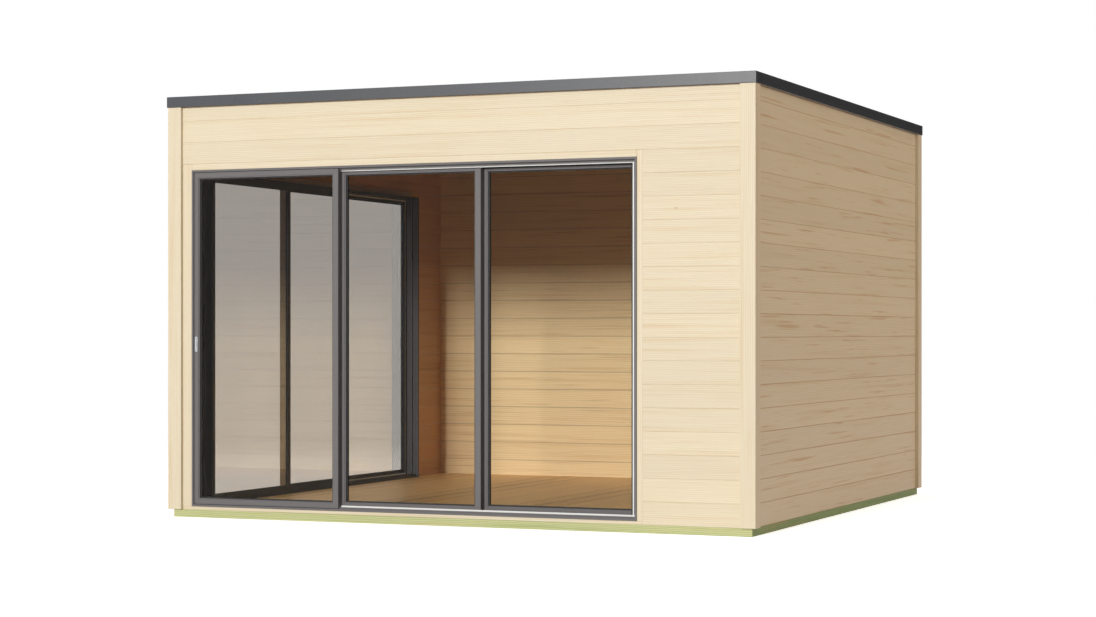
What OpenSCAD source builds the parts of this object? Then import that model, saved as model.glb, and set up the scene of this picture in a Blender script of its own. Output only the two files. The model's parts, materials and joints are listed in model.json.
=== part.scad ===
// Square flat-roofed garden room in timber boards, with a three-panel sliding door
// in the front wall and the same unit in the left wall.
// Millimetres. The front faces -Y, the ground is z = 0, and the plan is centred on the origin.

/* [Room] */
// Width across the outer faces of the corner posts
pod_w = 3600; // [3400:10:4400]
// Depth across the outer faces of the corner posts
pod_d = 3600; // [3400:10:4400]
// Height of posts and walls, from the base beams to the roof deck
wall_h = 2348; // [2250:1:2600]
// Side of the square corner posts
post_w = 88; // [80:1:120]
// Thickness of the board walls
wall_t = 66; // [50:1:75]
// Height that one wall board covers
board_h = 126; // [110:1:145]

/* [Base and floor] */
// Height of the base beams
base_h = 45; // [35:1:80]
// Width of the base beams
base_beam_w = 95; // [80:1:140]
// Distance of the base beams behind the outer faces of the posts
base_inset = 25; // [10:1:40]
// Width of a floor joist
floor_joist_w = 70; // [45:1:100]
// Widest spacing of the floor joists, centre to centre
floor_joist_pitch = 600; // [400:10:700]
// Thickness of the floor boards, and of the sill boards level with them
floor_t = 19; // [16:1:28]

/* [Roof] */
// Width of a roof joist
roof_joist_w = 45; // [38:1:70]
// Depth of a roof joist
roof_joist_h = 120; // [95:1:170]
// Widest spacing of the roof joists, centre to centre
roof_joist_pitch = 600; // [400:10:700]
// Thickness of the roof deck
deck_t = 22; // [15:1:28]
// Thickness of the roof membrane
membrane_t = 4; // [2:0.5:8]
// Height of the roof fascia
fascia_h = 62; // [50:1:120]
// Thickness of the fascia
fascia_t = 22; // [15:1:28]
// How far the fascia stands out past the posts
fascia_out = 5; // [2:1:10]

/* [Where the doors stand] */
// Width of the stud between the left front post and the front door
front_stud_left = 61; // [25:1:90]
// Width of the stud between the front door and the front wall
front_stud_right = 33; // [25:1:60]
// Width of the left wall between its front post and its door stud
left_wall_front_w = 118; // [60:1:160]
// Width of the studs at either side of the left door
left_stud = 33; // [25:1:60]
// Least height of the trim over a door, up to the next board line
head_trim_min = 20; // [10:1:60]
// Distance of the door frame behind the outer faces of the posts
frame_setback = 19; // [5:1:21]

/* [Sliding door unit] */
// Outer width of the door frame
door_w = 2776; // [2500:1:2880]
// Outer height of the door frame
door_h = 1960; // [1850:1:2000]
// Width of the two outer panels
outer_panel_w = 952; // [920:1:970]
// How far neighbouring panels overlap
panel_overlap = 14; // [8:1:30]
// Thickness of a sliding panel
panel_t = 32; // [28:1:36]
// Space between neighbouring panels, front to back
track_gap = 12; // [11:0.5:16]
// Space between a panel and the lip of the frame
lip_gap = 5.5; // [5:0.5:9]
// Space between a closed panel and the web of the jamb
jamb_gap = 5; // [5:0.5:8]
// Thickness of the jamb's web
jamb_t = 3; // [2:0.5:5]
// Thickness of the frame's lips
lip_t = 4; // [3:0.5:6]
// Height of the frame's lips
lip_h = 12; // [10:0.5:14]
// Thickness of the sill and head plates
plate_t = 5; // [4:0.5:8]
// Width of a track rib
rib_w = 5; // [4:0.5:7]
// Height of the sill ribs above the bottom of the frame
sill_rib_h = 21; // [19:0.5:23]
// Depth of the head ribs below the top of the frame
head_rib_h = 21; // [19:0.5:23]
// Thickness of the upright guides between neighbouring tracks
guide_t = 2; // [1.5:0.5:3]
// How far the guides stand out from the outside of the frame
guide_h = 22; // [18:0.5:26]
// Height of a panel above the bottom of the frame, and its drop below the top
panel_lift = 14; // [13:0.5:16]
// Free width beside a rib in a panel's groove, on each side
rib_side_gap = 3; // [2:0.5:4]
// Running gap over the sill ribs
run_gap = 0.3; // [0.1:0.1:0.8]
// Free height over the head ribs
head_gap = 5; // [5:0.5:8]

/* [Door panels] */
// Face width of a panel's side bars
stile_w = 38; // [30:1:55]
// Face height of a panel's top and bottom bars
rail_h = 34; // [31:1:55]
// Thickness of the glass
glass_t = 8; // [6:1:10]
// Distance of the glass behind a panel's face
glass_setback = 18; // [8:1:18]
// How deep the glass sits in the bars
glass_in = 10; // [6:1:12]
// Clearance round the glass in its groove
glass_gap = 0.3; // [0.1:0.1:0.6]
// Width of the glazing bead, the strip of the bars beside the glass
bead_w = 6; // [3:0.5:10]
// How far the glazing bead lies behind the bars' outer face
bead_step = 4; // [2:0.5:6]
// Width of the lock plate
lock_w = 18; // [14:1:24]
// Length of the lock plate
lock_l = 90; // [70:1:160]
// Thickness of the lock plate
lock_t = 4; // [3:0.5:6]
// Width of the turning lever on the plate
lever_w = 9; // [6:0.5:12]
// Length of the lever
lever_l = 52; // [40:1:64]
// Thickness of the lever
lever_t = 5; // [3:0.5:8]
// Height of the middle of the lock above the ground
lock_z = 1010; // [900:5:1100]

/* [Hidden] */
wood = [0.89, 0.80, 0.64];
green_wood = [0.55, 0.58, 0.36];
floor_wood = [0.71, 0.53, 0.36];
roof_wood = [0.78, 0.66, 0.48];
anthracite = [0.30, 0.32, 0.34];
felt = [0.20, 0.21, 0.22];
glass_tint = [0.75, 0.82, 0.84, 0.35];
silver = [0.80, 0.81, 0.82];

// Extra length of a cut past the face that it opens
past = 1;

// Posts, walls and room
half_w = pod_w / 2;
half_d = pod_d / 2;
room_x = half_w - post_w;
room_y = half_d - post_w;
wall_top = base_h + wall_h;
floor_z = base_h + floor_t;

// Base
beam_x = half_w - base_inset;
beam_y = half_d - base_inset;
beam_in_x = beam_x - base_beam_w;
beam_in_y = beam_y - base_beam_w;

// Roof
fascia_x = half_w + fascia_out;
fascia_y = half_d + fascia_out;
deck_x = fascia_x - fascia_t;
deck_y = fascia_y - fascia_t;

// Doors: a header starts at the first board line that clears the frame and its trim
door_top = floor_z + door_h;
header_z = base_h + board_h * ceil((floor_t + door_h + head_trim_min) / board_h);
front_door_x = -room_x + front_stud_left;
front_wall_x = front_door_x + door_w + front_stud_right;
left_bay_front = -room_y + left_wall_front_w;
left_door_front = left_bay_front + left_stud;
left_door_rear = left_door_front + door_w;
left_bay_rear = left_door_rear + left_stud;

// Door unit, in its own frame: x along the wall, y into the room, z up
frame_d = 2 * (lip_t + lip_gap) + 3 * panel_t + 2 * track_gap;
track_pitch = panel_t + track_gap;
panel_edge = jamb_t + jamb_gap;
panel_h = door_h - 2 * panel_lift;
middle_panel_w = door_w - 2 * panel_edge - 2 * outer_panel_w + 2 * panel_overlap;
panel_x = [panel_edge,
           panel_edge + outer_panel_w - panel_overlap,
           door_w - panel_edge - outer_panel_w];
panel_w = [outer_panel_w, middle_panel_w, outer_panel_w];
function track_y(track) = lip_t + lip_gap + track * track_pitch;
function rib_y(track) = track_y(track) + (panel_t - rib_w) / 2;
function guide_y(track) = track_y(track) + panel_t + (track_gap - guide_t) / 2;
sill_slot_d = sill_rib_h - panel_lift + run_gap;
head_slot_d = head_rib_h - panel_lift + head_gap;
slot_w = rib_w + 2 * rib_side_gap;

// Evenly spaced middles of the joists between two faces, no further apart than the pitch
function joist_count(span, pitch) = ceil(span / pitch) - 1;
function joist_at(i, span, pitch) = -span / 2 + (i + 1) * span / (joist_count(span, pitch) + 1);

// A box between two corners
module block(low, high) {
    translate(low)
        cube(high - low);
}

// Base and floor

module base_beams_front_back() {
    color(green_wood)
        for (side = [0, 1])
            mirror([0, side, 0])
                block([-beam_x, -beam_y, 0], [beam_x, -beam_in_y, base_h]);
}

module base_beams_sides() {
    color(green_wood)
        for (side = [0, 1])
            mirror([side, 0, 0])
                block([-beam_x, -beam_in_y, 0], [-beam_in_x, beam_in_y, base_h]);
}

module floor_joists() {
    span = 2 * beam_in_y;
    color(green_wood)
        for (i = [0 : joist_count(span, floor_joist_pitch) - 1])
            translate([0, joist_at(i, span, floor_joist_pitch), 0])
                block([-beam_in_x, -floor_joist_w / 2, 0], [beam_in_x, floor_joist_w / 2, base_h]);
}

module floor_boards() {
    color(floor_wood)
        block([-room_x, -room_y, base_h], [room_x, room_y, floor_z]);
}

// Posts and walls

module corner_post(right, back) {
    color(wood)
        mirror([right, 0, 0])
            mirror([0, back, 0])
                block([-half_w, -half_d, base_h], [-room_x, -room_y, wall_top]);
}

module post_front_left() { corner_post(0, 0); }
module post_front_right() { corner_post(1, 0); }
module post_back_left() { corner_post(0, 1); }
module post_back_right() { corner_post(1, 1); }

// Part of a wall whose inner face lies level with the posts, between two places along it
module front_piece(from_x, to_x, from_z, to_z) {
    color(wood)
        block([from_x, -room_y - wall_t, from_z], [to_x, -room_y, to_z]);
}

module left_piece(from_y, to_y, from_z, to_z) {
    color(wood)
        block([-room_x - wall_t, from_y, from_z], [-room_x, to_y, to_z]);
}

module back_wall() {
    mirror([0, 1, 0])
        front_piece(-room_x, room_x, base_h, wall_top);
}

module right_wall() {
    mirror([1, 0, 0])
        left_piece(-room_y, room_y, base_h, wall_top);
}

module front_wall() { front_piece(front_wall_x, room_x, base_h, header_z); }
module front_header() { front_piece(-room_x, room_x, header_z, wall_top); }
module front_sill_board() { front_piece(-room_x, front_wall_x, base_h, floor_z); }

module front_door_studs() {
    front_piece(-room_x, front_door_x, floor_z, header_z);
    front_piece(front_door_x + door_w, front_wall_x, floor_z, header_z);
}

module front_head_trim() { front_piece(front_door_x, front_door_x + door_w, door_top, header_z); }

module left_wall() {
    left_piece(-room_y, left_bay_front, base_h, header_z);
    left_piece(left_bay_rear, room_y, base_h, header_z);
}

module left_header() { left_piece(-room_y, room_y, header_z, wall_top); }
module left_sill_board() { left_piece(left_bay_front, left_bay_rear, base_h, floor_z); }

module left_door_studs() {
    left_piece(left_bay_front, left_door_front, floor_z, header_z);
    left_piece(left_door_rear, left_bay_rear, floor_z, header_z);
}

module left_head_trim() { left_piece(left_door_front, left_door_rear, door_top, header_z); }

// Roof

module roof_joists() {
    span = 2 * room_x;
    color(roof_wood)
        for (i = [0 : joist_count(span, roof_joist_pitch) - 1])
            translate([joist_at(i, span, roof_joist_pitch), 0, 0])
                block([-roof_joist_w / 2, -room_y, wall_top - roof_joist_h],
                      [roof_joist_w / 2, room_y, wall_top]);
}

module roof_deck() {
    color(roof_wood)
        block([-deck_x, -deck_y, wall_top], [deck_x, deck_y, wall_top + deck_t]);
}

module roof_membrane() {
    color(felt)
        block([-deck_x, -deck_y, wall_top + deck_t], [deck_x, deck_y, wall_top + deck_t + membrane_t]);
}

module fascia_front_back() {
    color(anthracite)
        for (side = [0, 1])
            mirror([0, side, 0])
                block([-fascia_x, -fascia_y, wall_top], [fascia_x, -deck_y, wall_top + fascia_h]);
}

module fascia_sides() {
    color(anthracite)
        for (side = [0, 1])
            mirror([side, 0, 0])
                block([-fascia_x, -deck_y, wall_top], [-deck_x, deck_y, wall_top + fascia_h]);
}

// Sliding door unit

// Section of the sill, with y across and z up: plate, two lips, three track ribs and two guides
module sill_section(rib_h) {
    square([frame_d, plate_t]);
    for (y = [0, frame_d - lip_t])
        translate([y, 0])
            square([lip_t, lip_h]);
    for (track = [0 : 2])
        translate([rib_y(track), 0])
            square([rib_w, rib_h]);
    for (track = [0 : 1])
        translate([guide_y(track), 0])
            square([guide_t, guide_h]);
}

// A section drawn across the door, pulled along it and a little further at either end
module along_door(extra = 0) {
    translate([-extra, 0, 0])
        rotate([90, 0, 90])
            linear_extrude(height = door_w + 2 * extra)
                children();
}

// The same, hung upside down under the top of the frame
module along_head(extra = 0) {
    translate([0, 0, door_h])
        mirror([0, 0, 1])
            along_door(extra)
                children();
}

module door_sill() {
    color(anthracite)
        along_door()
            sill_section(sill_rib_h);
}

module door_head() {
    color(anthracite)
        along_head()
            sill_section(head_rib_h);
}

// Section of the left jamb, seen from above: a web with a lip at either face and two guides
module jamb_section() {
    square([jamb_t, frame_d]);
    for (y = [0, frame_d - lip_t])
        translate([0, y])
            square([lip_h, lip_t]);
    for (track = [0 : 1])
        translate([0, guide_y(track)])
            square([guide_h, guide_t]);
}

// Both jambs, notched at their ends to sit over the sill and under the head
module door_jambs() {
    color(anthracite)
        difference() {
            for (x = [0, door_w])
                translate([x, 0, 0])
                    mirror([x > 0 ? 1 : 0, 0, 0])
                        linear_extrude(height = door_h)
                            jamb_section();
            along_door(past)
                sill_section(sill_rib_h);
            along_head(past)
                sill_section(head_rib_h);
        }
}

// Clear opening of a panel, wider at the outer face where the glazing bead steps back
module panel_opening(w) {
    translate([stile_w, -past, rail_h])
        cube([w - 2 * stile_w, panel_t + 2 * past, panel_h - 2 * rail_h]);
    translate([stile_w - bead_w, -past, rail_h - bead_w])
        cube([w - 2 * (stile_w - bead_w), bead_step + past, panel_h - 2 * (rail_h - bead_w)]);
}

// One panel's four bars, grooved for the glass and for the ribs of sill and head
module panel_bars(track) {
    w = panel_w[track];
    in_w = stile_w - glass_in - glass_gap;
    in_h = rail_h - glass_in - glass_gap;
    slot_y = (panel_t - slot_w) / 2;
    color(anthracite)
        translate([panel_x[track], track_y(track), panel_lift])
            difference() {
                cube([w, panel_t, panel_h]);
                panel_opening(w);
                translate([in_w, glass_setback - glass_gap, in_h])
                    cube([w - 2 * in_w, glass_t + 2 * glass_gap, panel_h - 2 * in_h]);
                translate([-past, slot_y, -past])
                    cube([w + 2 * past, slot_w, sill_slot_d + past]);
                translate([-past, slot_y, panel_h - head_slot_d])
                    cube([w + 2 * past, slot_w, head_slot_d + past]);
            }
}

module panel_glass(track) {
    w = panel_w[track];
    in_w = stile_w - glass_in;
    in_h = rail_h - glass_in;
    color(glass_tint)
        translate([panel_x[track] + in_w, track_y(track) + glass_setback, panel_lift + in_h])
            cube([w - 2 * in_w, glass_t, panel_h - 2 * in_h]);
}

// A flat bar with round ends, standing on its end, drawn from its middle
module round_bar(w, l, t) {
    rotate([90, 0, 0])
        linear_extrude(height = t) {
            square([w, l - w], center = true);
            for (end = [-1, 1])
                translate([0, end * (l - w) / 2])
                    circle(d = w, $fn = 48);
        }
}

// Lock on the outer panel's closing stile: a plate with a turning lever
module door_lock() {
    color(silver)
        translate([panel_x[0] + stile_w / 2, track_y(0), lock_z - floor_z]) {
            round_bar(lock_w, lock_l, lock_t);
            round_bar(lever_w, lever_l, lock_t + lever_t);
        }
}

// Places of the two door units
module at_front() {
    translate([front_door_x, -half_d + frame_setback, floor_z])
        children();
}

module at_left() {
    translate([-half_w + frame_setback, left_door_rear, floor_z])
        rotate([0, 0, -90])
            children();
}

module front_door_sill() { at_front() door_sill(); }
module front_door_head() { at_front() door_head(); }
module front_door_jambs() { at_front() door_jambs(); }
module front_left_panel() { at_front() panel_bars(0); }
module front_left_glass() { at_front() panel_glass(0); }
module front_middle_panel() { at_front() panel_bars(1); }
module front_middle_glass() { at_front() panel_glass(1); }
module front_right_panel() { at_front() panel_bars(2); }
module front_right_glass() { at_front() panel_glass(2); }
module front_door_lock() { at_front() door_lock(); }

module left_door_sill() { at_left() door_sill(); }
module left_door_head() { at_left() door_head(); }
module left_door_jambs() { at_left() door_jambs(); }
module left_rear_panel() { at_left() panel_bars(0); }
module left_rear_glass() { at_left() panel_glass(0); }
module left_middle_panel() { at_left() panel_bars(1); }
module left_middle_glass() { at_left() panel_glass(1); }
module left_front_panel() { at_left() panel_bars(2); }
module left_front_glass() { at_left() panel_glass(2); }
module left_door_lock() { at_left() door_lock(); }

base_beams_front_back();
base_beams_sides();
floor_joists();
floor_boards();
post_front_left();
post_front_right();
post_back_left();
post_back_right();
back_wall();
right_wall();
front_wall();
front_header();
front_sill_board();
front_door_studs();
front_head_trim();
left_wall();
left_header();
left_sill_board();
left_door_studs();
left_head_trim();
roof_joists();
roof_deck();
roof_membrane();
fascia_front_back();
fascia_sides();
front_door_sill();
front_door_head();
front_door_jambs();
front_left_panel();
front_left_glass();
front_middle_panel();
front_middle_glass();
front_right_panel();
front_right_glass();
front_door_lock();
left_door_sill();
left_door_head();
left_door_jambs();
left_rear_panel();
left_rear_glass();
left_middle_panel();
left_middle_glass();
left_front_panel();
left_front_glass();
left_door_lock();
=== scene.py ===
"""Looks of the garden office pod: boarded timber walls, sliding glass doors, roof and a plain studio."""

import json
import math
import random

import bmesh
import bpy
from bpy.props import FloatProperty, FloatVectorProperty, PointerProperty
from mathutils import Matrix, Vector


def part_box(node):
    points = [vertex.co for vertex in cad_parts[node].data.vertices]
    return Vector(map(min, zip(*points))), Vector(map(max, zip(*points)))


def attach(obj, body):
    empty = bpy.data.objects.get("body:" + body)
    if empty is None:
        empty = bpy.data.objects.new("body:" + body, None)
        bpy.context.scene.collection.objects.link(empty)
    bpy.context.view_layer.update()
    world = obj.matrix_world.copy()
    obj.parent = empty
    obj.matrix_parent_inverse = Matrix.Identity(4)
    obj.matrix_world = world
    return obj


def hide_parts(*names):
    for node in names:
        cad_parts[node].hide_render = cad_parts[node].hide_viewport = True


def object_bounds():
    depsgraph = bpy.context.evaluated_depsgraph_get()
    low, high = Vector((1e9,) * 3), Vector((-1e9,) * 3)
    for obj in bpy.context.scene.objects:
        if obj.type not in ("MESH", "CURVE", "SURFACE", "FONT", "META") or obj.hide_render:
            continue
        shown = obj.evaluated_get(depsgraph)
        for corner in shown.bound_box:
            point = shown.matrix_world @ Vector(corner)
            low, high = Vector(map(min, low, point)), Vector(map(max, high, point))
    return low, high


bl_info = {
    "name": "Garden Office Pod",
    "version": (1, 0, 0),
    "blender": (4, 5, 0),
    "location": "View3D > Sidebar > Pod",
    "description": "Dresses the frame of a boarded garden room with sliding doors",
    "category": "Object",
}

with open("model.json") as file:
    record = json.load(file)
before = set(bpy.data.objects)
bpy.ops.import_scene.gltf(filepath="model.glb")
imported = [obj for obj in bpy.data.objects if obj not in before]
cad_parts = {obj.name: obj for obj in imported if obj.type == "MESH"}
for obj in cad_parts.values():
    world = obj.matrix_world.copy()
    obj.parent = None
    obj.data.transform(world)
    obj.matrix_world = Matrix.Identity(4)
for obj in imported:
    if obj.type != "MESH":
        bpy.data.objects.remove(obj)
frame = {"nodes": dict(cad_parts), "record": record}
CAD_BOX = [list(corner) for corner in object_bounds()]
BODY_OF = {node: body for body, nodes in frame["record"]["behaviour"]["bodies"].items() for node in nodes}
ROOM = "room"
MM = 0.001
BOARDS_PER_CASSETTE = 6
BOARD_LAYER = "board"
AXES = "XYZ"
SHARP = math.radians(30)
WHITE = (1.0, 1.0, 1.0, 1.0)

# Part of a face's normal along an axis: between these two the face is sloped,
# and above both it is square to the axis
SLOPED = (0.3, 0.9)

# Seeds of the random board tones
SEEDS = {"walls": 7, "timbers": 19, "base": 3, "floor": 11, "roof": 5}

# Panels of each door unit, from the outer track to the inner one
DOOR_UNITS = {
    "front": ("front_left", "front_middle", "front_right"),
    "left": ("left_rear", "left_middle", "left_front"),
}

# Soft boxes: degrees round from the front to the right and degrees up, distance, size, colour,
# and whether reflections show it
SOFT_BOXES = {
    "key": ((-3.0, 11.8), 42.0, (8.0, 6.5), (1.0, 0.985, 0.96), True),
    "fill": ((95.0, 18.0), 13.0, (7.0, 6.0), (1.0, 0.70, 0.45), False),
    "rear": ((215.0, 35.0), 14.0, (8.0, 6.0), (1.0, 0.97, 0.94), False),
}

# Share of the light from sky and ground that passes each face of a pane
EVEN_LIGHT_IN = 0.22


def length_prop(name, description, default):
    """A size in metres that a user may change."""
    return FloatProperty(name=name, description=description, default=default, min=0.0, unit="LENGTH")


def colour_prop(name, description, default):
    """A linear colour that a user may change."""
    return FloatVectorProperty(
        name=name, description=description, default=default, size=3, min=0.0, max=1.0, subtype="COLOR"
    )


def number_prop(name, description, default, unit="NONE"):
    """A number of the stage that a user may change."""
    return FloatProperty(name=name, description=description, default=default, unit=unit)


class PodTimber(bpy.types.PropertyGroup):
    """Sizes and colours of the timber."""

    board: length_prop("Wall board", "Height that one wall board covers", 126 * MM)
    groove: length_prop("Groove", "Width of the slope on a wall board's long edges", 2.1 * MM)
    floor_board: length_prop("Floor board", "Width of a floor board", 145 * MM)
    first_board: length_prop("First floor board", "Width of the floor board at the left wall", 152 * MM)
    ceiling_board: length_prop("Ceiling board", "Width of a roof deck board, before fitting", 140 * MM)
    edge: length_prop("Eased edge", "Rounding on the edges of posts, studs and beams", 2.5 * MM)
    pale: colour_prop("Spruce", "Early wood of the planed spruce", (0.75, 0.665, 0.503))
    deep: colour_prop("Spruce grain", "Late wood of the planed spruce", (0.65, 0.505, 0.31))
    # Seams: painted shade in the wall board grooves, light on the lit front and darker on other walls and
    # indoors
    seam: colour_prop("Seam", "Sloped board edges on the front", (0.72, 0.62, 0.45))
    dark_groove_shade: colour_prop("Dark seam", "Sloped board edges on other walls and indoors", (0.58, 0.41, 0.23))
    # Floor seam: painted shade in the floor board joints
    floor_groove_shade: colour_prop("Floor seam", "Sloped edges of the floor boards", (0.24, 0.13, 0.06))
    # Inside: a warmer copy of the spruce, painted warm bounce light in the room
    inside: colour_prop("Inside", "Early wood of the boards on the room side", (0.93, 0.715, 0.395))
    inside_deep: colour_prop("Inside grain", "Late wood of the boards on the room side", (0.76, 0.49, 0.22))
    # Left wall in the room: a darker brown copy of the spruce, painted shade
    brown: colour_prop("Inside of left wall", "Early wood of the left wall in the room", (0.66, 0.37, 0.16))
    brown_deep: colour_prop("Left wall grain", "Late wood of the left wall in the room", (0.48, 0.24, 0.08))
    # Ceiling: a dark brown copy of the spruce, painted shade under the roof
    ceiling_shade: colour_prop("Ceiling", "Early wood of the roof deck and joists", (0.40, 0.235, 0.125))
    ceiling_shade_deep: colour_prop("Ceiling grain", "Late wood of the roof deck and joists", (0.30, 0.16, 0.08))
    treated: colour_prop("Treated wood", "Early wood of the green base beams", (0.56, 0.565, 0.285))
    treated_deep: colour_prop("Treated grain", "Late wood of the green base beams", (0.29, 0.35, 0.11))
    # Treated sides: a darker copy of the treated wood, painted shade on the base's sides
    treated_side_shade: colour_prop("Treated sides", "Early wood of the base at the sides", (0.235, 0.325, 0.105))
    treated_side_shade_deep: colour_prop(
        "Treated side grain", "Late wood of the base at the sides", (0.115, 0.185, 0.045)
    )
    floor: colour_prop("Floor", "Early wood of the floor boards", (0.98, 0.61, 0.22))
    floor_deep: colour_prop("Floor grain", "Late wood of the floor boards", (0.82, 0.48, 0.17))


class PodDoors(bpy.types.PropertyGroup):
    """Sizes and colours of the sliding doors."""

    edge: length_prop("Bar edge", "Rounding on the edges of the aluminium bars", 0.7 * MM)
    gasket: length_prop("Gasket", "Face width of the rubber seal round a pane", 7 * MM)
    brush: length_prop("Brush seal", "Depth of the brush seal between two panels", 4 * MM)
    pile: length_prop("Pile strip", "Face width of a rail's pile strip, wider than a jamb's", 12 * MM)
    cover: length_prop("Guide cover", "Width of the bright cover on a guide", 7 * MM)
    paint: colour_prop("Door paint", "Powder coat of the door bars", (0.152, 0.144, 0.146))
    # Inner paint: a darker copy of the door paint, painted shade on the room side
    inner: colour_prop("Inner paint", "Powder coat of the door bars on the room side", (0.040, 0.041, 0.043))
    guide: colour_prop("Guides", "Pale coat of the guides between the tracks", (0.86, 0.86, 0.84))
    steel: colour_prop("Lock", "Brushed steel of the lock", (0.60, 0.61, 0.63))
    screw: colour_prop("Screws", "Darker steel of the lock's screws", (0.22, 0.22, 0.23))
    rubber: colour_prop("Rubber", "Seals and brushes", (0.012, 0.012, 0.013))
    tint: colour_prop("Front glass", "Tint of the clear panes", (0.97, 0.985, 0.98))
    grey: colour_prop("Left glass", "Tint of the grey panes", (0.46, 0.43, 0.40))


class PodRoof(bpy.types.PropertyGroup):
    """Sizes and colours of the roof."""

    edge: length_prop("Fascia edge", "Rounding on the edges of the fascia", 1.5 * MM)
    strip: length_prop("Membrane strip", "Width of one strip of roof membrane", 1.0)
    lap: length_prop("Lap", "Overlap of two membrane strips", 0.10)
    paint: colour_prop("Fascia paint", "Powder coat of the fascia", (0.030, 0.033, 0.040))
    membrane: colour_prop("Membrane", "Roof membrane", (0.055, 0.058, 0.062))
    bitumen: colour_prop("Bitumen", "Seal at the laps of the membrane", (0.014, 0.014, 0.015))


class PodStage(bpy.types.PropertyGroup):
    """Camera, light and floor."""

    place: FloatVectorProperty(
        name="Camera", description="Place of the camera", default=(5.5856, -13.5466, 1.0804), size=3,
        subtype="TRANSLATION",
    )
    turn: FloatProperty(
        name="Turn", description="Turn of the level camera to the left of +Y", subtype="ANGLE",
        default=math.radians(22.9327),
    )
    lens: number_prop("Lens", "Focal length on a 36 mm sensor", 76.843, "CAMERA")
    rise: number_prop("Rise", "Upward shift of the lens, in sensor widths", 0.02155)
    key: number_prop("Key light", "Power of the front soft box", 12200.0, "POWER")
    fill: number_prop("Fill light", "Power of the soft box at the right", 345.0, "POWER")
    rear: number_prop("Rear light", "Power of the soft box behind", 650.0, "POWER")
    sky: number_prop("Sky", "Strength of the even light from all round", 0.23)
    lift: number_prop("Lift", "White added to the floor that the camera sees", 0.70)
    floor: colour_prop("Floor", "Pale studio floor", (0.90, 0.90, 0.90))


# Shaders


def node_group(name, inputs, outputs):
    """A new shader node group with its sockets, as (tree, input node, output node)."""
    tree = bpy.data.node_groups.new(name, "ShaderNodeTree")
    for label, kind in inputs:
        tree.interface.new_socket(label, in_out="INPUT", socket_type=kind)
    for label, kind in outputs:
        tree.interface.new_socket(label, in_out="OUTPUT", socket_type=kind)
    return tree, tree.nodes.new("NodeGroupInput"), tree.nodes.new("NodeGroupOutput")


class Wires:
    """Short ways to add and join shader nodes in one tree."""

    def __init__(self, tree):
        self.tree = tree

    def put(self, socket, value):
        """Joins an output to a socket, or sets the socket to a plain value."""
        if isinstance(value, bpy.types.NodeSocket):
            self.tree.links.new(value, socket)
        else:
            socket.default_value = value

    def node(self, kind, settings=None, **inputs):
        """A node with its settings, and its inputs by name with _ for a space."""
        made = self.tree.nodes.new("ShaderNode" + kind)
        for key, value in (settings or {}).items():
            setattr(made, key, value)
        for key, value in inputs.items():
            self.put(made.inputs[key.replace("_", " ")], value)
        return made

    def math(self, operation, a, b):
        made = self.node("Math", {"operation": operation})
        self.put(made.inputs[0], a)
        self.put(made.inputs[1], b)
        return made.outputs[0]

    def vector(self, operation, a, b):
        made = self.node("VectorMath", {"operation": operation})
        self.put(made.inputs[0], a)
        self.put(made.inputs[1], b)
        return made.outputs[0]

    def ramp(self, value, low, high):
        """0 below low and 1 above high, smooth between them."""
        smooth = {"interpolation_type": "SMOOTHSTEP"}
        return self.node("MapRange", smooth, Value=value, From_Min=low, From_Max=high).outputs["Result"]

    def mix(self, factor, a, b):
        """A mix of two colours. Sockets 6 and 7 take the colours, and output 2 gives one."""
        made = self.node("Mix", {"data_type": "RGBA"})
        self.put(made.inputs[0], factor)
        self.put(made.inputs[6], a)
        self.put(made.inputs[7], b)
        return made.outputs[2]

    def noise(self, place, scale, detail):
        return self.node("TexNoise", Vector=place, Scale=scale, Detail=detail).outputs["Fac"]

    def seen_rays(self):
        """1 for rays that show a thing, also through glass or mirrored, and 0 for those that light it."""
        ray = self.node("LightPath")
        seen = self.math("MAXIMUM", ray.outputs["Is Camera Ray"], ray.outputs["Is Transmission Ray"])
        return self.math("MAXIMUM", seen, ray.outputs["Is Glossy Ray"])


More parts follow.
